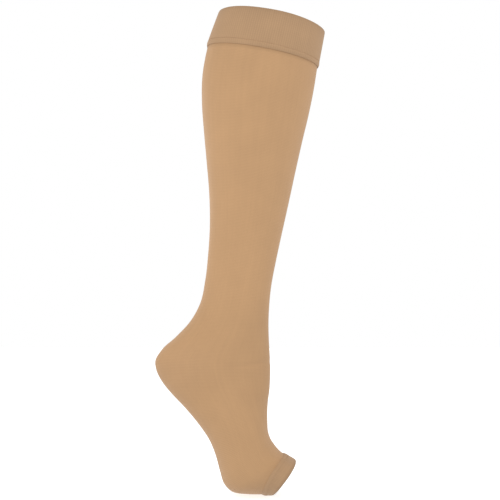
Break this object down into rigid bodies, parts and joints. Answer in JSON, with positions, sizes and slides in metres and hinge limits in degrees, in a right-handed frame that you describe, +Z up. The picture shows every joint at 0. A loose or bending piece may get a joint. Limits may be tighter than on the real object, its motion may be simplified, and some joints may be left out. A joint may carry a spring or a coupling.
{
  "type": "compression stocking",
  "caption": "Knee-high open-toe compression stocking, filled out as when worn on tiptoe, with a doubled top band and a narrow band round the open toe.",
  "frame": {"origin": "middle of the top band, on the axis of the wearer's calf", "axes": "+X towards the front of the leg and the toes, +Y to the wearer's left, +Z up the leg"},
  "size_m": [0.1899, 0.1124, 0.5385],
  "materials": {
    "leg_knit": "fine elastic circular knit of nylon and elastane, beige, matt with a faint sheen",
    "band_knit": "denser doubled elastic knit, a greyer beige than the leg, matt",
    "seam_thread": "textured nylon sewing thread, beige"
  },
  "bodies": {
    "root": {"leg_and_foot": "leg_knit", "top_band": "band_knit", "toe_band": "band_knit"}
  },
  "joints": []
}
